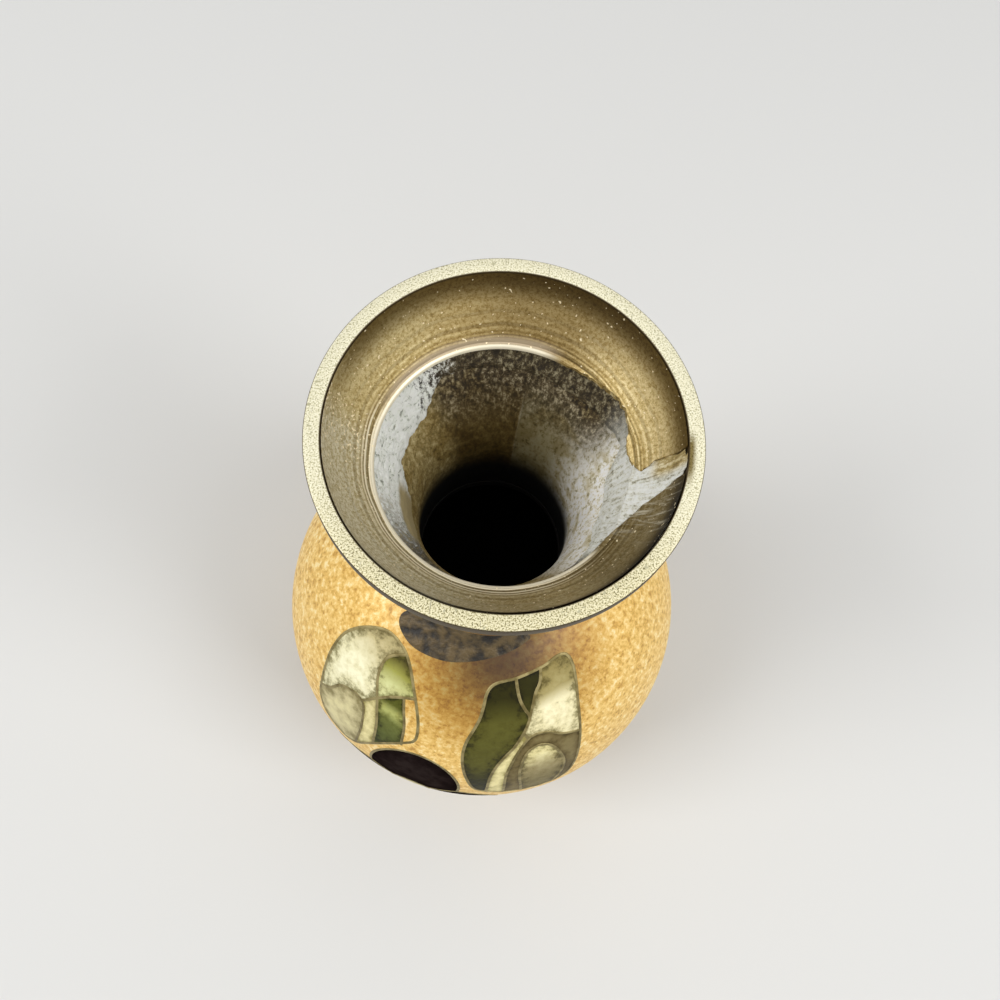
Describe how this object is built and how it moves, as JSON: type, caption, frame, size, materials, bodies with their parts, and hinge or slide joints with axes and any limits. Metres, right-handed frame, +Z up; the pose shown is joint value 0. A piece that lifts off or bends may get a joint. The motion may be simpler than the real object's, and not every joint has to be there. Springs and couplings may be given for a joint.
{
  "type": "bud vase",
  "caption": "Small round-bellied metal bud vase in wired enamel with a flared neck, a brass mouth ring and a torn, soldered inner funnel.",
  "frame": {"origin": "centre of the foot ring's underside, on the vase's axis", "axes": "+Z up along the axis towards the mouth, -Y towards the front with the large flower, +X to the right seen from the front"},
  "size_m": [0.0636, 0.0636, 0.102],
  "materials": {
    "ring_brass": "satin brass, fine dark pits and hairline scratches",
    "funnel_brass": "spun brass, brown with age, concentric turning marks",
    "tube_brass": "rolled brass sheet, dull and mottled by heat and solder",
    "copper": "raised copper sheet, dull inside",
    "wire_brass": "flat wire on edge, ground flush and polished",
    "solder": "rough grey-white solder, crusted and streaked",
    "goldstone_enamel": "gold-speckled aventurine enamel, glossy",
    "counter_enamel": "plain turquoise counter enamel, glossy",
    "pale_green_enamel": "pale grey-green enamel, glossy, cloudy",
    "olive_yellow_enamel": "yellowish olive enamel, glossy",
    "beige_enamel": "beige enamel, glossy",
    "light_green_enamel": "light green enamel, glossy",
    "dark_green_enamel": "dark olive green enamel, glossy",
    "brown_enamel": "olive brown enamel, glossy",
    "aubergine_enamel": "near-black aubergine enamel, glossy"
  },
  "bodies": {
    "root": {"back_flower_eye": "olive_yellow_enamel", "back_flower_petal_left": "aubergine_enamel", "back_flower_petal_lower_left": "aubergine_enamel", "back_flower_petal_lower_right": "aubergine_enamel", "back_flower_petal_right": "aubergine_enamel", "back_flower_petal_top": "aubergine_enamel", "back_flower_wires": "wire_brass", "back_left_leaf_dark_half": "dark_green_enamel", "back_left_leaf_light_half": "pale_green_enamel", "back_left_leaf_wires": "wire_brass", "back_right_leaf_dark_half": "dark_green_enamel", "back_right_leaf_light_half": "pale_green_enamel", "back_right_leaf_wires": "wire_brass", "base_counter_enamel": "counter_enamel", "base_plate": "copper", "body_shell": "copper", "foot_ring": "ring_brass", "foot_wire": "wire_brass", "front_flower_eye": "olive_yellow_enamel", "front_flower_petal_left": "aubergine_enamel", "front_flower_petal_lower_left": "aubergine_enamel", "front_flower_petal_lower_right": "aubergine_enamel", "front_flower_petal_right": "aubergine_enamel", "front_flower_petal_top": "aubergine_enamel", "front_flower_wires": "wire_brass", "front_left_leaf_blade": "pale_green_enamel", "front_left_leaf_dark_green": "dark_green_enamel", "front_left_leaf_gold": "goldstone_enamel", "front_left_leaf_light_green": "light_green_enamel", "front_left_leaf_lobe": "olive_yellow_enamel", "front_left_leaf_stalk": "beige_enamel", "front_left_leaf_wires": "wire_brass", "front_right_leaf_blade": "pale_green_enamel", "front_right_leaf_green_band": "dark_green_enamel", "front_right_leaf_lobe": "olive_yellow_enamel", "front_right_leaf_rim": "brown_enamel", "front_right_leaf_small_green": "dark_green_enamel", "front_right_leaf_stalk": "beige_enamel", "front_right_leaf_wires": "wire_brass", "ground_body": "goldstone_enamel", "ground_neck": "goldstone_enamel", "mouth_funnel": "funnel_brass", "neck_repair_solder": "solder", "neck_seam_braze": "wire_brass", "neck_tube": "tube_brass", "rim_ring": "ring_brass", "shoulder_wire": "wire_brass", "throat_solder": "solder"}
  },
  "joints": []
}
